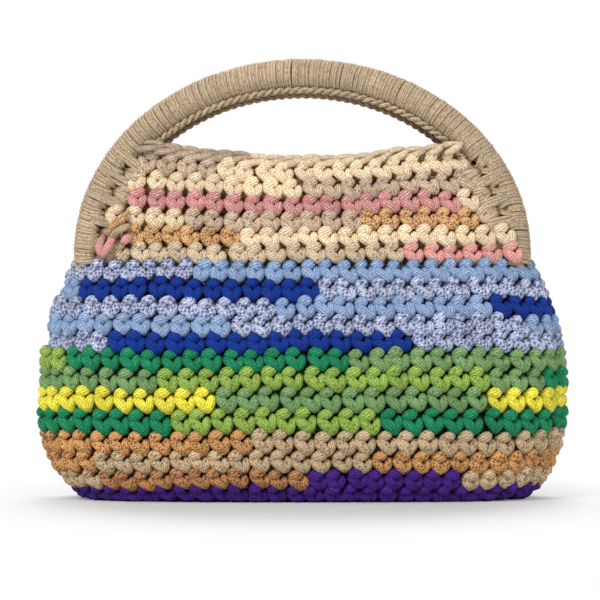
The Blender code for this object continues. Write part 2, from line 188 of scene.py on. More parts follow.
def body_points(angles, levels, out):
    """Points of the body at angles round it and levels, some way out from its outline."""
    half_width, half_depth, squareness = outline_sizes(levels)
    across = np.abs(np.cos(angles)) / half_width
    deep = np.abs(np.sin(angles)) / half_depth
    radius = (across ** squareness + deep ** squareness) ** (-1.0 / squareness)
    x = radius * np.cos(angles)
    y = radius * np.sin(angles)
    out_x = np.sign(x) * (np.abs(x) / half_width) ** (squareness - 1.0) / half_width
    out_y = np.sign(y) * (np.abs(y) / half_depth) ** (squareness - 1.0) / half_depth
    size = np.hypot(out_x, out_y)
    skin_x = x + out * out_x / size
    skin_y = y + out * out_y / size
    return np.stack([skin_x, skin_y, np.broadcast_to(levels, skin_x.shape)], axis=-1)


# The slow waves of a row worked by hand: how many round it, their height in mm, and their start
HAND_WAVES = ((3, 0.45, 0.0), (7, 0.30, 2.1), (13, 0.18, 4.4))
WAVE_STEP = 0.4


def hand_wave(across, share, number):
    """How far a row strays up or down along it, as hand work does."""
    wave = 0.0
    for waves, height, lag in HAND_WAVES:
        wave = wave + height * MM * np.sin(math.tau * waves * across * share + lag + WAVE_STEP * number)
    return wave


# How far each round strays up from an even spacing, in mm: hand work is tighter in some rounds
ROUND_STRAY = (0.0, 0.2, 0.7, 1.3, 2.4, 2.9, 2.5, 1.6, 0.0, -1.2, -1.2, -0.5, 0.0)
ROUND_LEVELS = [
    0.5 * (low[2] + high[2]) + stray * MM for (low, high), stray in zip(ROUND_BOXES, ROUND_STRAY)
]

# How far each round's left end lies in from the even outline, in mm, and more at the bottom edge
LEFT_STRAY = (0.5, 3.0, 0.0, 1.2, 4.5, 0.5, 1.8, 0.6, 0.0, 0.4, 1.6, 2.8, 3.6)
LEFT_TUCK = 0.0100


class BodyRound:
    """One round of the body: turns a place in stitches into a point of the bag."""

    def __init__(self, number):
        self.number = number
        self.level = ROUND_LEVELS[number]
        above = ROUND_LEVELS[max(number - 1, 0)]
        below = ROUND_LEVELS[min(number + 1, ROUNDS - 1)]
        self.height = (above - below) / (2 if 0 < number < ROUNDS - 1 else 1)
        self.angles = math.pi + np.linspace(0.0, math.tau, OUTLINE_STEPS + 1)
        points = body_points(self.angles, np.full(OUTLINE_STEPS + 1, self.level), 0.0)
        steps = np.linalg.norm(np.diff(points, axis=0), axis=1)
        self.walked = np.concatenate([[0.0], np.cumsum(steps)])
        self.pitch = self.walked[-1] / STITCHES_A_ROUND
        self.centres = (np.arange(STITCHES_A_ROUND) + 0.5 - ROUND_SLIP * number) % STITCHES_A_ROUND

    def points(self, across, up, out):
        """across in stitches round the bag, up and out in metres."""
        angles = np.interp((across * self.pitch) % self.walked[-1], self.walked, self.angles)
        levels = self.level + up + hand_wave(across, 1.0 / STITCHES_A_ROUND, self.number)
        low = np.clip(1.0 - levels / FLOOR_ROUND, 0.0, 1.0) ** 2
        points = body_points(angles, levels, out - FLOOR_TUCK * low)
        at_left = np.clip(-2.0 * points[..., 0] / BELLY[0] - 1.0, 0.0, 1.0) ** 2
        points[..., 0] += at_left * (LEFT_STRAY[self.number] * MM + LEFT_TUCK * low)
        return points


def handle_spread(levels):
    """How far the handles' middle line is from the middle plane."""
    share = (levels - FOOT_LEVEL) / (TOP_LEVEL - FOOT_LEVEL)
    return FOOT_SPREAD + (TOP_SPREAD - FOOT_SPREAD) * share


def arch_line(inset):
    """The arch seen from the front, or a line inside it, as x and level from left foot to right."""
    turns = math.pi - np.linspace(0.0, math.pi, ARCH_STEPS + 1)
    normals = np.stack([np.cos(turns) / FOOT_HALF_WIDTH, np.sin(turns) / ARCH_RISE], axis=1)
    normals /= np.linalg.norm(normals, axis=1)[:, None]
    arch = np.stack([FOOT_HALF_WIDTH * np.cos(turns), SPRING_LEVEL + ARCH_RISE * np.sin(turns)], axis=1)
    line = arch - inset * normals
    feet = np.array([[-(FOOT_HALF_WIDTH - inset), FOOT_LEVEL], [FOOT_HALF_WIDTH - inset, FOOT_LEVEL]])
    return np.concatenate([feet[:1], line, feet[1:]])


class Arch:
    """A handle's middle line, walked in metres, with the ways in and forward at each place."""

    def __init__(self, face):
        self.face = face
        line = arch_line(0.0)
        y = face * handle_spread(line[:, 1])
        line = np.stack([line[:, 0], y, line[:, 1]], axis=1)
        tuck = np.array([[FOOT_TUCK], [-FOOT_TUCK]]) * [1.0, 0.0, 0.0]
        ends = line[[0, -1]] + tuck + [0.0, -face * FOOT_TUCK, -FOOT_SINK]
        self.line = np.concatenate([ends[:1], line, ends[1:]])
        steps = np.linalg.norm(np.diff(self.line, axis=0), axis=1)
        self.walked = np.concatenate([[0.0], np.cumsum(steps)])
        self.length = self.walked[-1]

    def at(self, way):
        """Point, direction along, direction in towards the gap, and direction forward."""
        way = np.asarray(way, float)
        step = 0.5 * MM
        points = self._read(way)
        along = self._read(np.minimum(way + step, self.length)) - self._read(np.maximum(way - step, 0.0))
        along /= np.linalg.norm(along, axis=-1)[..., None]
        forward = np.zeros_like(along)
        forward[..., 1] = self.face
        inward = np.cross(along, forward) * -self.face
        inward /= np.linalg.norm(inward, axis=-1)[..., None]
        forward = np.cross(inward, along) * -self.face
        return points, along, inward, forward

    def _read(self, way):
        return np.stack([np.interp(way, self.walked, self.line[:, axis]) for axis in range(3)], axis=-1)


def clear_half_width(levels, inset):
    """Half the clear width inside the arch at each level."""
    line = arch_line(inset)
    right = line[line[:, 0] > 0.0][::-1]
    return np.interp(levels, right[:, 1], right[:, 0])


class PanelRow:
    """One row of a panel: turns a place in stitches into a point of the panel."""

    def __init__(self, face, number):
        self.face = face
        row_height = PANEL_HEIGHT / PANEL_ROWS
        self.rise = PANEL_HEIGHT - (number + 0.5) * row_height
        self.height = row_height
        half_width = clear_half_width(FOOT_LEVEL + self.rise, PANEL_INSET)
        self.count = 2 * half_width / PANEL_STITCH
        in_front = face == FRONT
        self.lifts = [ROW_END_LIFT * (in_front and number in rows) for rows in LIFTED_ROWS]
        overrun = ROW_OVERRUNS[number] if in_front else 0.0
        self.centres = np.arange(ROW_STARTS[number], self.count + overrun, 1.0)
        self.number = number

    def points(self, across, up, out):
        """across in stitches from the left side seen from outside, up and out in metres."""
        share = (2.0 * across / self.count - 1.0) * -self.face
        rise = self.rise + up + hand_wave(across, 0.5 / self.count, self.number)
        end_levels = FOOT_LEVEL + rise
        half_width = clear_half_width(end_levels, PANEL_INSET)
        end_spread = handle_spread(end_levels) + PANEL_FORWARD
        foot_bow = SHOULDER[1] - FOOT_SPREAD - PANEL_FORWARD - STITCH_DEPTH / 2
        bow = foot_bow + (RIM_BOW - foot_bow) * rise / PANEL_HEIGHT
        middle = 1.0 - np.clip(np.abs(share), 0.0, 1.0) ** SHOULDER[2]
        past = np.clip((np.abs(share) - 1.0) * self.count / 2 + 1.0, 0.0, 1.0)
        lift = np.where(across < self.count / 2, *self.lifts) * past
        y = self.face * (end_spread + bow * middle + STITCH_DEPTH / 2 + out + lift)
        level = end_levels - RIM_SAG * (rise / PANEL_HEIGHT) * (1.0 - share * share)
        return np.stack([share * half_width, y, level], axis=-1)


class Owners:
    """Finds which CAD node of a row a point belongs to."""

    def __init__(self, names):
        self.names = names
        self.owner = []
        meshes = [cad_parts[name].data for name in names]
        self.tree = KDTree(sum(len(mesh.vertices) for mesh in meshes))
        for index, mesh in enumerate(meshes):
            for vertex in mesh.vertices:
                self.tree.insert(vertex.co, len(self.owner))
                self.owner.append(index)
        self.tree.balance()

    def of(self, point):
        return self.names[self.owner[self.tree.find(point)[1]]]


def spline_weights(controls, rings):
    """How much each control point counts at each ring of a smooth line through all of them."""
    weights = np.zeros((rings, controls))
    for ring, place in enumerate(np.linspace(0.0, controls - 1.0, rings)):
        first = min(int(place), controls - 2)
        t = place - first
        shares = (
            (first - 1, 0.5 * (-t + 2 * t * t - t ** 3)),
            (first, 0.5 * (2 - 5 * t * t + 3 * t ** 3)),
            (first + 1, 0.5 * (t + 4 * t * t - 3 * t ** 3)),
            (first + 2, 0.5 * (t ** 3 - t * t)),
        )
        for control, share in shares:
            weights[ring, min(max(control, 0), controls - 1)] += share
    return weights


class CordMesh:
    """Cords swept along many short lines, gathered into one mesh."""

    def __init__(self):
        self.points = []
        self.corners = []
        self.sizes = []
        self.places = []
        self.tones = []
        self.depths = []
        self.total = 0

    def sweep(self, paths, radii, rings=10, sides=9, tone=None, smooth=True, skin=None):
        """paths is lines x points x 3, and radii is lines x points or one radius for each point.

        skin is a point of the outline and the way out of it for each line, for the depth below it.
        """
        lines = len(paths)
        if lines == 0:
            return
        radii = np.broadcast_to(np.asarray(radii, float), paths.shape[:2])
        if smooth:
            weights = spline_weights(paths.shape[1], rings)
            paths = np.einsum("rc,lcd->lrd", weights, paths)
            radii = np.einsum("rc,lc->lr", weights, radii)
        rings = paths.shape[1]
        along = np.gradient(paths, axis=1)
        along /= np.linalg.norm(along, axis=2)[..., None]
        side = np.zeros_like(paths)
        start = np.cross(along[:, 0], [0.013, 0.31, 0.95])
        side[:, 0] = start / np.linalg.norm(start, axis=1)[:, None]
        for ring in range(1, rings):
            turned = side[:, ring - 1]
            turned = turned - (turned * along[:, ring]).sum(1)[:, None] * along[:, ring]
            side[:, ring] = turned / np.linalg.norm(turned, axis=1)[:, None]
        other = np.cross(along, side)
        turns = np.linspace(0.0, math.tau, sides, endpoint=False)
        ring_points = (
            paths[:, :, None]
            + radii[..., None, None] * np.cos(turns)[:, None] * side[:, :, None]
            + radii[..., None, None] * np.sin(turns)[:, None] * other[:, :, None]
        )
        steps = np.linalg.norm(np.diff(paths, axis=1), axis=2)
        walked = np.concatenate([np.zeros((lines, 1)), np.cumsum(steps, axis=1)], axis=1)
        walked += RANDOM.uniform(0.0, 0.05, (lines, 1))
        self._add_faces(ring_points, walked, lines, rings, sides)
        if tone is None:
            tone = RANDOM.normal(0.0, 1.0, lines)
        self.tones.append(np.repeat(tone, rings * sides))
        # Depth of each point below the outline, which the material darkens as painted shade in the crevices
        depth = np.zeros((lines, rings, sides))
        if skin is not None:
            depth = np.einsum("lrsd,ld->lrs", ring_points - skin[0][:, None, None], skin[1])
        self.depths.append(depth.reshape(-1) / MM)

    def _add_faces(self, ring_points, walked, lines, rings, sides):
        index = np.arange(lines * rings * sides).reshape(lines, rings, sides) + self.total
        near = index[:, :-1]
        far = index[:, 1:]
        quads = np.stack([near, np.roll(near, -1, 2), np.roll(far, -1, 2), far], axis=-1)
        turn = np.broadcast_to(np.arange(sides) / sides, (lines, rings - 1, sides))
        next_turn = turn + 1.0 / sides
        start = np.broadcast_to(walked[:, :-1, None], turn.shape)
        end = np.broadcast_to(walked[:, 1:, None], turn.shape)
        u = np.stack([start, start, end, end], axis=-1)
        v = np.stack([turn, next_turn, next_turn, turn], axis=-1)
        self.corners.append(quads.reshape(-1))
        self.places.append(np.stack([u, v], axis=-1).reshape(-1, 2))
        self.sizes.append(np.full(quads.size // 4, 4))
        for ring, order in ((0, -1), (rings - 1, 1)):
            caps = index[:, ring, ::order]
            self.corners.append(caps.reshape(-1))
            self.places.append(np.repeat(walked[:, ring], sides)[:, None] * [1.0, 0.0])
            self.sizes.append(np.full(lines, sides))
        self.points.append(ring_points.reshape(-1, 3))
        self.total += lines * rings * sides

    def make(self, name, material):
        """The mesh object, with its cord places as a UV map and its tones as an attribute."""
        mesh = bpy.data.meshes.new(name)
        points = np.concatenate(self.points)
        points[:, 2] = np.maximum(points[:, 2], 0.0)
        corners = np.concatenate(self.corners)
        sizes = np.concatenate(self.sizes)
        mesh.vertices.add(len(points))
        mesh.vertices.foreach_set("co", points.astype(np.float32).ravel())
        mesh.loops.add(len(corners))
        mesh.loops.foreach_set("vertex_index", corners.astype(np.int32))
        mesh.polygons.add(len(sizes))
        starts = np.concatenate([[0], np.cumsum(sizes)[:-1]])
        mesh.polygons.foreach_set("loop_start", starts.astype(np.int32))
        mesh.update(calc_edges=True)
        layer = mesh.uv_layers.new(name="Cord")
        layer.data.foreach_set("uv", np.concatenate(self.places).astype(np.float32).ravel())
        tones = mesh.attributes.new("tone", "FLOAT", "POINT")
        tones.data.foreach_set("value", np.concatenate(self.tones).astype(np.float32))
        depths = mesh.attributes.new("depth", "FLOAT", "POINT")
        depths.data.foreach_set("value", np.concatenate(self.depths).astype(np.float32))
        mesh.shade_smooth()
        mesh.materials.append(material)
        piece = bpy.data.objects.new(name, mesh)
        bpy.context.scene.collection.objects.link(piece)
        return piece


def stitch_paths(template, row, centres, scale, shifts, turns, pitch):
    """A template's control points laid at each stitch of a row, with its own shift and turn."""
    template = np.array(template)
    across = template[None, :, 0] * np.cos(turns) - template[None, :, 1] * np.sin(turns)
    up = template[None, :, 0] * np.sin(turns) + template[None, :, 1] * np.cos(turns)
    across = (across + shifts[:, 0:1]) * MM * scale[0]
    up = (up + shifts[:, 1:2]) * MM * scale[1]
    out = (template[None, :, 2] + shifts[:, 2:3]) * MM
    places = centres[:, None] + across / pitch
    return row.points(places, up, out), template[:, 3] * MM


def skin_at(row, centres):
    """The outline's point at each stitch, and the way out of it."""
    level = np.zeros(len(centres))
    points = row.points(centres, level, 0.0)
    out = row.points(centres, level, 1.0 * MM) - points
    return points, out / np.linalg.norm(out, axis=1)[:, None]


# How uneven the hand work is: shifts in mm across, up and out, turns in radians, and the cord's
# swell and tone from part to part
STITCH_SHIFTS = (0.40, 0.30, 0.25)
STITCH_TURNS = 0.07
STITCH_SWELL = 0.06
STITCH_TONES = 0.3


def crochet(mesh, row, centres, scale, pitch, coarse=False):
    """Single crochet stitches at places along a row: two legs, a nub above them and the backs."""
    count = len(centres)
    shifts = RANDOM.normal(0.0, 1.0, (count, 3)) * STITCH_SHIFTS
    turns = RANDOM.normal(0.0, STITCH_TURNS, (count, 1))
    tone = RANDOM.normal(0.0, 1.0, count)
    calm = np.zeros((count, 3))
    level = np.zeros((count, 1))
    skin = skin_at(row, centres)
    rings, sides = (7, 7) if coarse else (9, 9)
    parts = [(LEFT_LEG, shifts, turns, rings, sides), (RIGHT_LEG, shifts, turns, rings, sides)]
    parts.append((NUB, shifts, turns, 7, sides))
    if not coarse:
        parts += [(LOW_BUMP, calm, level, 5, 6), (HIGH_BUMP, calm, level, 5, 6)]
    for template, moved, turned, rings, sides in parts:
        paths, radii = stitch_paths(template, row, centres, scale, moved, turned, pitch)
        swell = CORD_FULLNESS + RANDOM.normal(0.0, STITCH_SWELL, (count, 1))
        own_tone = tone + RANDOM.normal(0.0, STITCH_TONES, count)
        mesh.sweep(paths, radii * swell, rings, sides, own_tone, skin=skin)


# Stitches of another cord at one place in a row: node, from and to across the front, and cord
SHORT_RUNS = (
    ("panel_front_row_2_taupe", 0.0875, 0.2000, "cream"),
    ("panel_front_row_3_pink", 0.0800, 0.2000, "cream"),
    ("panel_front_row_4_taupe", -0.0800, -0.0605, "cream"),
    ("panel_front_row_4_orange", 0.0935, 0.2000, "taupe"),
    ("round_07_emerald", 0.1010, 0.1260, "sage"),
)


def make_stitches(row, node, centres, scale, pitch):
    """The piece for one node of a row, and a piece for each short run of another cord in it."""
    x, y, _ = row.points(centres, np.zeros(len(centres)), 0.0).T
    for short_node, low, high, cord in SHORT_RUNS:
        inside = (x > low) & (x < high) & (y < 0.0)
        if node != short_node or not inside.any():
            continue
        mesh = CordMesh()
        crochet(mesh, row, centres[inside], scale, pitch)
        finish_piece(mesh, node, MATERIALS[cord], f"_end_{cord}")
        centres = centres[~inside]
        x, y, _ = row.points(centres, np.zeros(len(centres)), 0.0).T
    mesh = CordMesh()
    crochet(mesh, row, centres, scale, pitch)
    finish_piece(mesh, node, cord_of(node))


def by_owner(owners, row, centres, up=0.0):
    """The places of a row's stitches, gathered by the CAD node that they belong to."""
    points = row.points(centres, np.full(len(centres), up), -0.5 * STITCH_DEPTH)
    found = {}
    for centre, point in zip(centres, points):
        found.setdefault(owners.of(point), []).append(centre)
    return {name: np.array(places) for name, places in found.items()}


def cord_name(node):
    """The cord's colour, which ends the name of the node."""
    return max((name for name in CORDS if node.endswith(name)), key=len)


def cord_of(node):
    """The material of the cord that a node is worked in."""
    return MATERIALS[BOTTOM_SHADE_CORDS.get(node, cord_name(node))]


def finish_piece(mesh, node, material, ending="_cord"):
    """Turn a mesh of cords into the piece that stands for a CAD node, or for a part of one."""
    piece = mesh.make(node + ending, material)
    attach(piece, "root")
    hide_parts(node)
    return piece


def make_body():
    for number in range(ROUNDS):
        row = BodyRound(number)
        owners = Owners(nodes_named(f"round_{number + 1:02d}_"))
        scale = (row.pitch / STITCH_WIDTH, row.height / STITCH_HEIGHT)
        for node, centres in by_owner(owners, row, row.centres).items():
            make_stitches(row, node, centres, scale, row.pitch)


def make_panel(face, side):
    for number in range(PANEL_ROWS):
        row = PanelRow(face, number)
        owners = Owners(nodes_named(f"panel_{side}_row_{number + 1}_"))
        scale = (PANEL_STITCH / STITCH_WIDTH, row.height / STITCH_HEIGHT)
        for node, centres in by_owner(owners, row, row.centres).items():
            make_stitches(row, node, centres, scale, PANEL_STITCH)


# Loose strands over the front panel's left edge, in mm: x, y, level, then radius
STRAND_RINGS = 12
STRAND_SIDES = 9
EDGE_STRANDS = {
    "beige": (
        ((-99.4, -24.0, 136.6, 1.4), (-98.2, -27.2, 138.2, 1.9), (-95.6, -28.4, 140.6, 2.1),
         (-92.4, -28.6, 142.4, 2.1), (-90.0, -26.0, 143.2, 1.5)),
    ),
    "orange": (
        ((-90.8, -25.0, 150.6, 1.3), (-92.2, -28.6, 148.4, 1.7), (-93.8, -29.6, 145.8, 1.8),
         (-97.4, -29.0, 144.2, 1.8), (-99.8, -27.6, 141.0, 1.7), (-100.6, -24.5, 138.0, 1.3)),
    ),
    "coral": (
        ((-98.8, -23.0, 139.0, 1.4), (-99.2, -26.4, 136.0, 2.0), (-101.2, -27.2, 132.0, 2.2),
         (-103.4, -26.4, 128.6, 1.9), (-104.2, -23.0, 126.4, 1.3)),
        ((-103.4, -22.6, 138.0, 1.4), (-104.8, -25.8, 135.4, 1.9), (-105.6, -26.6, 131.8, 2.1),
         (-105.0, -25.8, 128.4, 1.8), (-104.4, -22.6, 126.2, 1.3)),
        ((-93.6, -23.4, 134.4, 1.5), (-92.8, -26.8, 135.2, 2.0), (-91.5, -28.6, 136.1, 2.4),
         (-90.2, -26.8, 137.0, 2.0), (-89.4, -23.4, 137.8, 1.5)),
    ),
}


def make_edge_strands():
    """The few strands of orange, beige and coral that climb the front panel's left edge."""
    for cord, strands in EDGE_STRANDS.items():
        mesh = CordMesh()
        for strand in strands:
            strand = np.array(strand) * MM
            mesh.sweep(strand[None, :, :3], strand[:, 3], STRAND_RINGS, STRAND_SIDES)
        piece = mesh.make(f"panel_front_edge_{cord}", MATERIALS[cord])
        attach(piece, "root")


# Rim chain links, in mm: along, up and out from the rim's middle line, then radius
RIM_LINK = (
    ((-6.8, -1.9, -0.6, 0.9), (-5.2, -2.0, 1.5, 1.5), (-2.4, -1.4, 2.5, 1.8),
     (1.2, -0.4, 2.5, 1.7), (4.2, 0.6, 1.4, 1.4), (6.6, 1.2, -0.6, 1.0)),
    ((-6.2, 0.9, -1.0, 1.0), (-3.8, 1.6, 0.2, 1.4), (-0.4, 1.9, 0.5, 1.5),
     (3.0, 1.8, 0.1, 1.4), (6.0, 1.2, -1.4, 1.0)),
    ((-5.6, -0.9, -1.4, 1.2), (-3.8, -0.7, -2.8, 1.8), (0.0, -0.3, -3.2, 2.1),
     (3.6, 0.1, -2.6, 1.7), (5.6, 0.6, -1.4, 1.2)),
)

# Links that run on over the handle at each end of the rim, and how far forward they lie there
RIM_END_LINKS = 2
RIM_END_LIFT = 0.0035

# How uneven the links are: shifts in mm and swell
RIM_SHIFTS = 0.25
RIM_SWELL = 0.07
RIM_RINGS = 12
RIM_SIDES = 10


def make_rim(face, side):
    """The chain along the top of a panel."""
    owners = Owners(nodes_named(f"rim_{side}_"))
    row = PanelRow(face, 0)
    top_half_width = clear_half_width(PANEL_TOP + 2 * RIM_RADIUS, PANEL_INSET)
    row_half_width = clear_half_width(FOOT_LEVEL + row.rise, PANEL_INSET)
    reach = top_half_width / row_half_width
    free_links = int(round(2 * top_half_width / PANEL_STITCH))
    pitch = reach * row.count / free_links
    links = free_links + 2 * RIM_END_LINKS
    centres = row.count / 2 + (np.arange(links) + 0.5 - links / 2) * pitch
    middle_up = row.height / 2 + RIM_RADIUS
    half_reach = reach * row.count / 2
    for node, places in by_owner(owners, row, centres, middle_up).items():
        mesh = CordMesh()
        for leg in RIM_LINK:
            leg = np.array(leg)
            shift = RANDOM.normal(0.0, RIM_SHIFTS, (len(places), 1))
            across = places[:, None] + leg[None, :, 0] * MM * pitch / PANEL_STITCH
            up = middle_up + (leg[None, :, 1] + shift) * MM
            past = np.clip(np.abs(across - row.count / 2) - half_reach, 0.0, 1.0)
            out = -0.5 * STITCH_DEPTH + (leg[None, :, 2] + shift) * MM + RIM_END_LIFT * past
            swell = 1.0 + RANDOM.normal(0.0, RIM_SWELL, (len(places), 1))
            mesh.sweep(row.points(across, up, out), leg[None, :, 3] * MM * swell, RIM_RINGS, RIM_SIDES)
        finish_piece(mesh, node, cord_of(node))


# Handle wraps
WRAP_PITCH = 0.00185
WRAP_CORD_RADIUS = 0.00122
WRAP_STEPS = 16
WRAP_SIDES = 6
WRAP_SLANT = 0.0010
WRAP_SWELL = 0.10
WRAP_SLANTS = 0.25
WRAP_TONES = 0.8
HOLE_PITCH = 0.0125
HOLE_PULL = 0.60
HOLE_DEPTH = 0.0030
HOLE_REACH = 0.0014
HOLE_ANGLES = (math.radians(42.0), math.radians(66.0))
HOLE_WIDTH = math.radians(20.0)
# A depth given to the joining holes, so that the material darkens them as painted shade
HOLE_SHADE = -7.0

# The side of a turn that is drawn to a hole, as sines: towards the panel, and in front
INWARD_SIDE = (0.0, 0.85)
FRONT_SIDE = (-0.2, 0.2)

# Where a handle's foot grows to its full thickness, as shares of how far it is sunk
FOOT_GROWTH = (0.8, 1.1)


def smooth_step(values, low, high):
    """A smooth rise from 0 at low to 1 at high."""
    share = np.clip((values - low) / (high - low), 0.0, 1.0)
    return share * share * (3.0 - 2.0 * share)


def joined_reach(arch):
    """How far along a handle from its foot the panel is joined to it."""
    half = len(arch.line) // 2
    return np.interp(PANEL_TOP + RIM_RADIUS, arch.line[:half, 2], arch.walked[:half])


def hole_ways(arch):
    """Where the joining holes are along a handle, from both feet."""
    ways = np.arange(FOOT_SINK + 0.5 * HOLE_PITCH, joined_reach(arch), HOLE_PITCH)
    return np.concatenate([ways, arch.length - ways[::-1]])


def make_wrap(face, side):
    """Thin cord wound round the rod from foot to foot, drawn in at the joining holes."""
    arch = Arch(face)
    turns = int(arch.length / WRAP_PITCH)
    mesh = CordMesh()
    way = np.linspace(0.0, arch.length, turns * WRAP_STEPS + 1)
    angle = math.tau * np.arange(len(way)) / WRAP_STEPS
    turn = np.floor(np.arange(len(way)) / WRAP_STEPS).astype(int)
    swell = RANDOM.normal(0.0, WRAP_SWELL * MM, turns + 2)[turn]
    slant = WRAP_SLANT + RANDOM.normal(0.0, WRAP_SLANTS * MM, turns + 2)[turn]
    holes = hole_ways(arch)
    nearest = holes[np.abs(way[:, None] - holes[None, :]).argmin(axis=1)]
    joined = np.abs(way - nearest) < 0.5 * HOLE_PITCH
    pull = joined * smooth_step(np.cos(angle), *INWARD_SIDE) * smooth_step(np.sin(angle), *FRONT_SIDE)
    moved = way + pull * HOLE_PULL * (nearest - way) - slant * np.sin(angle)
    hole_angle = np.where(way * -face < 0.5 * arch.length * -face, *HOLE_ANGLES)
    off_hole = (angle % math.tau - hole_angle) / HOLE_WIDTH
    hole = joined * np.exp(-(((moved - nearest) / HOLE_REACH) ** 2) - off_hole ** 2)
    dip = HOLE_DEPTH * hole
    points, along, inward, forward = arch.at(np.clip(moved, 0.0, arch.length))
    sunk, full = FOOT_GROWTH
    from_foot = smooth_step(np.minimum(way, arch.length - way), sunk * FOOT_SINK, full * FOOT_SINK)
    thickness = FOOT_TAPER + (1.0 - FOOT_TAPER) * from_foot
    radius = (WRAP_RADIUS - WRAP_CORD_RADIUS) * thickness + swell - dip
    line = points + (radius * np.cos(angle))[:, None] * inward + (radius * np.sin(angle))[:, None] * forward
    mesh.sweep(line[None], WRAP_CORD_RADIUS, sides=WRAP_SIDES, smooth=False, tone=np.zeros(1))
    mesh.tones[-1] = np.repeat(RANDOM.normal(0.0, WRAP_TONES, turns + 2)[turn], WRAP_SIDES)
    # Painted shade at the joining holes, given as depth
    mesh.depths[-1] = np.repeat(HOLE_SHADE * hole, WRAP_SIDES)
    finish_piece(mesh, f"handle_{side}_wrap", MATERIALS["thin_tan"])


# Two strands twisted into the rope along a handle's inner edge
ROPE_TURN = 0.0094
ROPE_STEPS = 12
ROPE_STRAND = 0.00105
ROPE_LAY = 0.00090
ROPE_DEPTH = 0.0004
ROPE_FLATNESS = 1.5
ROPE_SIDES = 7


def make_edge(face, side):
    """The rope along the inner edge of a handle, and the joining stitches beside the panel."""
    arch = Arch(face)
    mesh = CordMesh()
    way = np.linspace(0.0, arch.length, int(arch.length / ROPE_TURN * ROPE_STEPS))
    points, along, inward, forward = arch.at(way)
    reach_in = math.cos(EDGE_TILT) * inward + math.sin(EDGE_TILT) * forward
    beside = -math.sin(EDGE_TILT) * inward + math.cos(EDGE_TILT) * forward
    for start in (0.0, math.pi):
        turn = (math.tau * way / ROPE_TURN + start)[:, None]
        middle = points + (WRAP_RADIUS + ROPE_STRAND + ROPE_DEPTH) * reach_in
        strand = middle + ROPE_LAY * (np.cos(turn) * reach_in + ROPE_FLATNESS * np.sin(turn) * beside)
        mesh.sweep(strand[None], ROPE_STRAND, sides=ROPE_SIDES, smooth=False)
    make_joins(mesh, arch)
    finish_piece(mesh, f"handle_{side}_edge", MATERIALS["thin_tan"])


# Joining stitches, in mm from the handle's middle line: in towards the panel, forward, then how far
# the strand is from the middle of its fan, as a share, and its radius
FAN_PATH = (
    (5.4, 3.4, 0.15, 0.9), (6.8, 4.8, 0.30, 1.1), (9.2, 6.0, 0.60, 1.3),
    (11.4, 6.6, 0.90, 1.4), (13.6, 5.8, 1.0, 1.3), (15.2, 2.5, 1.0, 1.0),
)
FAN_OFFSETS = (-4.0, -2.0, 0.0, 2.0, 4.0)
# Depths along a fan's strands and a bridge's, which the material darkens as painted shade: a fan most where
# it leaves its hole, both a little where they reach the panel
FAN_SHADE = (-6.0, -4.0, -1.0, 0.0, 0.0, -3.0)
BRIDGE_PATH = (
    (-0.5, 6.6, 0.8, 0.9), (3.2, 6.7, 0.9, 1.0), (7.0, 6.3, 1.0, 1.1),
    (10.2, 6.6, 1.0, 1.3), (13.2, 6.0, 1.0, 1.2), (15.0, 2.5, 1.0, 1.0),
)
BRIDGE_OFFSETS = (-1.9, 0.0, 1.9)
BRIDGE_SHADE = (0.0, 0.0, 0.0, 0.0, 0.0, -3.0)


def make_joins(mesh, arch):
    """Strands that fan from each hole to the panel, and strands that bridge between two holes."""
    for hole in hole_ways(arch):
        join(mesh, arch, hole, FAN_PATH, FAN_OFFSETS, FAN_SHADE)
        join(mesh, arch, hole + 0.5 * HOLE_PITCH, BRIDGE_PATH, BRIDGE_OFFSETS, BRIDGE_SHADE)


JOIN_RINGS = 10
JOIN_SIDES = 7
JOIN_SHIFTS = 0.25
JOIN_LIFTS = 0.3


def join(mesh, arch, way, path, offsets, shade):
    """A fan of strands from one place on the handle to the panel."""
    path = np.array(path)
    offsets = np.array(offsets)[:, None] + RANDOM.normal(0.0, JOIN_SHIFTS, (len(offsets), 1))
    ways = np.clip(way + offsets * path[None, :, 2] * MM, 0.0, arch.length)
    points, along, inward, forward = arch.at(ways)
    lift = RANDOM.normal(0.0, JOIN_LIFTS, (len(offsets), 1))
    reach_in = (path[None, :, 0] * MM)[..., None]
    reach_out = ((path[None, :, 1] + lift) * MM)[..., None]
    strands = points + reach_in * inward + reach_out * forward
    mesh.sweep(strands, path[:, 3] * MM, JOIN_RINGS, JOIN_SIDES)
    # Painted shade along the strands, given as depth
    shades = np.interp(np.linspace(0.0, 1.0, JOIN_RINGS), np.linspace(0.0, 1.0, len(shade)), shade)
    mesh.depths[-1] = np.tile(np.repeat(shades, JOIN_SIDES), len(offsets))


class BaseRing:
    """One oval round of the flat base, worked inside the one before, facing down."""

    def __init__(self, inset):
        self.inset = inset
        self.angles = math.pi + np.linspace(0.0, math.tau, OUTLINE_STEPS + 1)
        points = self._outline(self.angles, 0.0)
        steps = np.linalg.norm(np.diff(points, axis=0), axis=1)
        self.walked = np.concatenate([[0.0], np.cumsum(steps)])
        self.count = int(round(self.walked[-1] / PANEL_STITCH))
        self.pitch = self.walked[-1] / self.count
        self.centres = np.arange(self.count) + RANDOM.uniform(0.0, 1.0)

    def _outline(self, angles, up):
        half_width, half_depth, squareness = outline_sizes(np.full(np.shape(angles), FLOOR_LEVEL))
        out = -self.inset + up
        across = np.abs(np.cos(angles)) / (half_width + out)
        deep = np.abs(np.sin(angles)) / (half_depth + out)
        radius = (across ** squareness + deep ** squareness) ** (-1.0 / squareness)
        return np.stack([radius * np.cos(angles), radius * np.sin(angles)], axis=-1)

    def points(self, across, up, out):
        angles = np.interp((across * self.pitch) % self.walked[-1], self.walked, self.angles)
        flat = self._outline(angles, up)
        level = np.broadcast_to(BASE_LIFT - out, angles.shape)
        return np.concatenate([flat, level[..., None]], axis=-1)


BASE_LIFT = 0.0012
BASE_ROUND = 0.0085
BASE_MIDDLE = 0.004


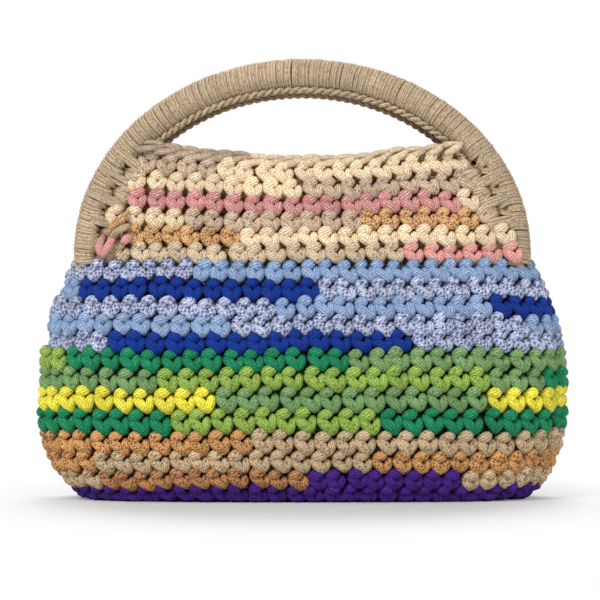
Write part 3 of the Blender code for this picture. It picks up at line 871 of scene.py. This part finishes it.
def make_base():
    """The base's oval rounds, their stitches facing the floor."""
    mesh = CordMesh()
    inset = BASE_ROUND
    while inset < FLOOR[1] - BASE_MIDDLE:
        ring = BaseRing(inset)
        scale = (ring.pitch / STITCH_WIDTH, BASE_ROUND / STITCH_HEIGHT)
        crochet(mesh, ring, ring.centres, scale, ring.pitch, coarse=True)
        inset += BASE_ROUND
    finish_piece(mesh, "base", MATERIALS["purple"])


def socket(group, name, kind, value=None, output=False):
    """One named input or output of a shader node group."""
    made = group.interface.new_socket(name=name, in_out="OUTPUT" if output else "INPUT", socket_type=kind)
    if value is not None:
        made.default_value = value
    return made


class Nodes:
    """Short ways to add and join shader nodes in one tree."""

    def __init__(self, tree):
        self.tree = tree

    def add(self, kind, **settings):
        node = self.tree.nodes.new(kind)
        for name, value in settings.items():
            setattr(node, name, value)
        return node

    def link(self, source, target):
        self.tree.links.new(source, target)

    def maths(self, operation, first, second=None, third=None):
        node = self.add("ShaderNodeMath", operation=operation)
        for index, value in enumerate((first, second, third)):
            if value is None:
                continue
            if isinstance(value, (int, float)):
                node.inputs[index].default_value = value
            else:
                self.link(value, node.inputs[index])
        return node.outputs[0]

    def mix(self, share, first, second):
        node = self.add("ShaderNodeMix", data_type="RGBA")
        for index, value in ((0, share), (6, first), (7, second)):
            if isinstance(value, (int, float)):
                node.inputs[index].default_value = value
            elif isinstance(value, tuple):
                node.inputs[index].default_value = (*value, 1.0)
            else:
                self.link(value, node.inputs[index])
        return node.outputs[2]

    def smooth(self, value, low, high):
        node = self.add("ShaderNodeMapRange", interpolation_type="SMOOTHSTEP")
        self.link(value, node.inputs[0])
        node.inputs[1].default_value = low
        node.inputs[2].default_value = high
        return node.outputs[0]


# Painted shade in the crevices between stitches, from each point's depth below the outline: depths in mm at
# which it is darkest and where it ends
CREVICE = (-5.2, -2.0)
# Depths in mm below which the bag's inner face is left without painted shade, and above which the painted
# shade is full
INSIDE = (-7.2, -5.6)
# How much the painted shade deepens the colour, and how much it darkens it
CREVICE_SHADE_GAMMA = 0.9
CREVICE_SHADE = 0.45


def knitted_cord_group():
    """Colour and height of a thin knitted tube: wales along it, chevrons in each, and flecks, with painted
    shade in the grooves between wales and in the crevices between stitches.
    """
    group = bpy.data.node_groups.new("knitted cord", "ShaderNodeTree")
    socket(group, "Colour", "NodeSocketColor", (0.5, 0.5, 0.5, 1.0))
    socket(group, "Fleck", "NodeSocketColor", (0.1, 0.1, 0.1, 1.0))
    socket(group, "Flecks", "NodeSocketFloat", 0.3)
    socket(group, "Wales", "NodeSocketFloat", 10.0)
    socket(group, "Courses", "NodeSocketFloat", 800.0)
    socket(group, "Colour", "NodeSocketColor", output=True)
    socket(group, "Height", "NodeSocketFloat", output=True)
    n = Nodes(group)
    inputs = n.add("NodeGroupInput").outputs
    outputs = n.add("NodeGroupOutput").inputs
    place = n.add("ShaderNodeUVMap", uv_map="Cord").outputs[0]
    split = n.add("ShaderNodeSeparateXYZ")
    n.link(place, split.inputs[0])
    along = split.outputs[0]
    wale = n.maths("MULTIPLY", split.outputs[1], inputs["Wales"])
    off = n.maths("MULTIPLY", n.maths("ABSOLUTE", n.maths("SUBTRACT", n.maths("FRACT", wale), 0.5)), 2.0)
    course = n.maths("MULTIPLY", along, inputs["Courses"])
    slanted = n.maths("MULTIPLY_ADD", off, 0.7, course)
    ridge = n.maths("MULTIPLY_ADD", n.maths("SINE", n.maths("MULTIPLY", slanted, math.tau)), 0.5, 0.5)
    groove = n.smooth(off, 0.55, 1.0)
    between = n.maths("MULTIPLY", n.maths("SUBTRACT", 1.0, groove), 0.55)
    height = n.maths("MULTIPLY_ADD", ridge, 0.45, between)
    n.link(height, outputs["Height"])

    cell_along = n.maths("MULTIPLY_ADD", n.maths("FLOOR", wale), 0.5, n.maths("MULTIPLY", course, 0.9))
    cell = n.add("ShaderNodeCombineXYZ")
    n.link(n.maths("FLOOR", cell_along), cell.inputs[0])
    n.link(n.maths("FLOOR", wale), cell.inputs[1])
    noise = n.add("ShaderNodeTexWhiteNoise", noise_dimensions="2D")
    n.link(cell.outputs[0], noise.inputs["Vector"])
    chosen = n.maths("LESS_THAN", noise.outputs["Value"], inputs["Flecks"])
    ends = n.maths("ABSOLUTE", n.maths("SUBTRACT", n.maths("FRACT", cell_along), 0.5))
    dash = n.maths("MULTIPLY", n.maths("SUBTRACT", 1.0, n.smooth(ends, 0.18, 0.36)),
                   n.maths("SUBTRACT", 1.0, n.smooth(off, 0.3, 0.7)))
    fleck = n.maths("MULTIPLY", n.maths("MULTIPLY", dash, chosen), 0.9)

    tone = n.add("ShaderNodeAttribute", attribute_name="tone").outputs["Fac"]
    soft = n.add("ShaderNodeTexNoise")
    soft.inputs["Scale"].default_value = 60.0
    coordinates = n.add("ShaderNodeTexCoord").outputs["Object"]
    n.link(coordinates, soft.inputs["Vector"])
    drift = n.maths("MULTIPLY_ADD", n.maths("SUBTRACT", soft.outputs[0], 0.5), 0.35, 1.0)
    fuzz = n.add("ShaderNodeTexNoise")
    fuzz.inputs["Scale"].default_value = 750.0
    fuzz.inputs["Detail"].default_value = 1.0
    n.link(coordinates, fuzz.inputs["Vector"])
    speckle = n.maths("MULTIPLY_ADD", n.maths("SUBTRACT", fuzz.outputs[0], 0.5), 0.9, 1.0)
    bright = n.maths("MULTIPLY", n.maths("MULTIPLY_ADD", tone, 0.05, 1.0), drift)
    worn = n.maths("MULTIPLY", bright, speckle)
    # Painted shade: the colour is darker in the grooves between wales
    shade = n.maths("MULTIPLY", worn, n.maths("MULTIPLY_ADD", height, 0.85, 0.50))
    scaled = n.add("ShaderNodeVectorMath", operation="SCALE")
    n.link(inputs["Colour"], scaled.inputs[0])
    n.link(shade, scaled.inputs["Scale"])
    flecked = n.mix(fleck, scaled.outputs[0], inputs["Fleck"])

    # Painted shade in the crevices between stitches, read from the depth attribute, with deeper colour in
    # the grooves between wales
    depth = n.add("ShaderNodeAttribute", attribute_name="depth").outputs["Fac"]
    sunk = n.maths("SUBTRACT", 1.0, n.smooth(depth, *CREVICE))
    crevice = n.maths("MULTIPLY", sunk, n.smooth(depth, *INSIDE))
    groove_shade_power = n.maths("MULTIPLY_ADD", n.maths("SUBTRACT", 1.0, height), 0.25, 1.0)
    painted_shade_gamma = n.add("ShaderNodeGamma")
    n.link(flecked, painted_shade_gamma.inputs[0])
    n.link(n.maths("MULTIPLY_ADD", crevice, CREVICE_SHADE_GAMMA, groove_shade_power), painted_shade_gamma.inputs[1])
    shaded = n.add("ShaderNodeVectorMath", operation="SCALE")
    n.link(painted_shade_gamma.outputs[0], shaded.inputs[0])
    n.link(n.maths("MULTIPLY_ADD", crevice, -CREVICE_SHADE, 1.0), shaded.inputs["Scale"])
    n.link(shaded.outputs[0], outputs["Colour"])
    return group


# The cord's dull, slightly fuzzy finish
CORD_FINISH = {
    "Roughness": 0.72,
    "Specular IOR Level": 0.2,
    "Sheen Weight": 0.02,
    "Sheen Roughness": 0.4,
}


def cord_material(name, group, colour, fleck, flecks, wales=12.0, courses=800.0, depth=0.5):
    """A knitted cord of one colour, with flecks of another."""
    material = bpy.data.materials.new(name + " cord")
    material.use_nodes = True
    tree = material.node_tree
    n = Nodes(tree)
    shader = tree.nodes["Principled BSDF"]
    knit = n.add("ShaderNodeGroup", node_tree=group)
    knit.inputs["Colour"].default_value = (*colour, 1.0)
    knit.inputs["Fleck"].default_value = (*fleck, 1.0)
    knit.inputs["Flecks"].default_value = flecks
    knit.inputs["Wales"].default_value = wales
    knit.inputs["Courses"].default_value = courses
    n.link(knit.outputs["Colour"], shader.inputs["Base Color"])
    bump = n.add("ShaderNodeBump")
    bump.inputs["Strength"].default_value = 1.0
    bump.inputs["Distance"].default_value = depth * MM
    n.link(knit.outputs["Height"], bump.inputs["Height"])
    n.link(bump.outputs[0], shader.inputs["Normal"])
    for finish, amount in CORD_FINISH.items():
        shader.inputs[finish].default_value = amount
    return material


def cane_material():
    """Plain cane for the hidden rods: long grain and slow colour drift."""
    material = bpy.data.materials.new("cane")
    material.use_nodes = True
    n = Nodes(material.node_tree)
    shader = material.node_tree.nodes["Principled BSDF"]
    grain = n.add("ShaderNodeTexNoise")
    grain.inputs["Scale"].default_value = 180.0
    grain.inputs["Detail"].default_value = 6.0
    n.link(n.add("ShaderNodeTexCoord").outputs["Object"], grain.inputs["Vector"])
    n.link(n.mix(grain.outputs[0], (0.42, 0.27, 0.13), (0.62, 0.45, 0.25)), shader.inputs["Base Color"])
    bump = n.add("ShaderNodeBump")
    bump.inputs["Distance"].default_value = 0.1 * MM
    n.link(grain.outputs[0], bump.inputs["Height"])
    n.link(bump.outputs[0], shader.inputs["Normal"])
    shader.inputs["Roughness"].default_value = 0.55
    return material


def make_materials():
    group = knitted_cord_group()
    made = {name: cord_material(name, group, *values) for name, values in CORDS.items()}
    made["thin_tan"] = cord_material("thin tan", group, *THIN_TAN, wales=5.0, courses=900.0, depth=0.3)
    made["cane"] = cane_material()
    return made


# Studio
CAMERA_DISTANCE = 1.50
CAMERA_LEVEL = 0.1046
CAMERA_SIDE = -0.0013
PHOTO_WIDTH = 0.3174
SENSOR = 36.0
AMBIENT = 0.30


def make_camera():
    data = bpy.data.cameras.new("camera")
    data.sensor_width = SENSOR
    data.lens = SENSOR * CAMERA_DISTANCE / PHOTO_WIDTH
    camera = bpy.data.objects.new("camera", data)
    camera.location = (CAMERA_SIDE, -CAMERA_DISTANCE, CAMERA_LEVEL)
    camera.rotation_euler = (math.radians(90.0), 0.0, 0.0)
    bpy.context.scene.collection.objects.link(camera)
    bpy.context.scene.camera = camera


def area_light(name, location, size, power):
    data = bpy.data.lights.new(name, "AREA")
    data.shape = "DISK"
    data.size = size
    data.energy = power
    light = bpy.data.objects.new(name, data)
    light.location = location
    target = bpy.data.objects.new(name + " target", None)
    target.location = (0.0, 0.0, 0.1)
    aim = light.constraints.new("TRACK_TO")
    aim.target = target
    aim.track_axis = "TRACK_NEGATIVE_Z"
    aim.up_axis = "UP_Y"
    for item in (light, target):
        bpy.context.scene.collection.objects.link(item)


FLOOR_SIZE = 8.0
FLOOR_COLOUR = (0.72, 0.72, 0.73, 1.0)

# How far from the bag its shadow starts and ends to fade, and how much sooner it does sideways
SHADOW_REACH = (0.13, 0.30)
SHADOW_STRETCH = (1.5, 1.0, 1.0)


def floor_material():
    """White floor that keeps the bag's shadow and fades to plain white further off."""
    material = bpy.data.materials.new("white floor")
    material.use_nodes = True
    tree = material.node_tree
    n = Nodes(tree)
    shader = tree.nodes["Principled BSDF"]
    shader.inputs["Base Color"].default_value = FLOOR_COLOUR
    shader.inputs["Roughness"].default_value = 1.0
    shader.inputs["Specular IOR Level"].default_value = 0.0
    path = n.add("ShaderNodeLightPath").outputs["Is Camera Ray"]
    white = n.add("ShaderNodeEmission")
    distance = n.add("ShaderNodeVectorMath", operation="LENGTH")
    spot = n.add("ShaderNodeVectorMath", operation="MULTIPLY")
    n.link(n.add("ShaderNodeTexCoord").outputs["Object"], spot.inputs[0])
    spot.inputs[1].default_value = SHADOW_STRETCH
    n.link(spot.outputs[0], distance.inputs[0])
    far = n.smooth(distance.outputs["Value"], *SHADOW_REACH)
    mixed = n.add("ShaderNodeMixShader")
    n.link(n.maths("MULTIPLY", path, far), mixed.inputs[0])
    n.link(shader.outputs[0], mixed.inputs[1])
    n.link(white.outputs[0], mixed.inputs[2])
    n.link(mixed.outputs[0], tree.nodes["Material Output"].inputs["Surface"])
    return material


# Soft round lights: name, place, width and power in watts
LIGHTS = (
    ("left", (-1.3, -1.6, 1.5), 1.0, 41.0),
    ("right", (1.5, -1.6, 1.1), 1.2, 20.0),
    ("top", (0.0, 1.2, 1.8), 1.6, 34.0),
)


def make_studio():
    """A white floor that keeps the shadow, a white surround and soft lights."""
    for light in LIGHTS:
        area_light(*light)

    bpy.ops.mesh.primitive_plane_add(size=FLOOR_SIZE)
    floor = bpy.context.active_object
    floor.name = "floor"
    floor.data.materials.append(floor_material())

    world = bpy.data.worlds.new("white surround")
    bpy.context.scene.world = world
    world.use_nodes = True
    n = Nodes(world.node_tree)
    background = world.node_tree.nodes["Background"]
    path = n.add("ShaderNodeLightPath")
    seen = n.maths("MAXIMUM", path.outputs["Is Camera Ray"],
                   n.maths("MAXIMUM", path.outputs["Is Glossy Ray"], path.outputs["Is Transmission Ray"]))
    n.link(n.mix(seen, (AMBIENT, AMBIENT, AMBIENT), (1.0, 1.0, 1.0)), background.inputs["Color"])
    background.inputs["Strength"].default_value = 1.0
    bpy.context.scene.view_settings.view_transform = "Standard"


MATERIALS = make_materials()
make_camera()
make_studio()
make_body()
make_base()
make_edge_strands()
for face, side in ((FRONT, "front"), (BACK, "back")):
    make_panel(face, side)
    make_rim(face, side)
    make_wrap(face, side)
    make_edge(face, side)
    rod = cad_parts[f"handle_{side}_rod"]
    rod.data.materials.clear()
    rod.data.materials.append(MATERIALS["cane"])
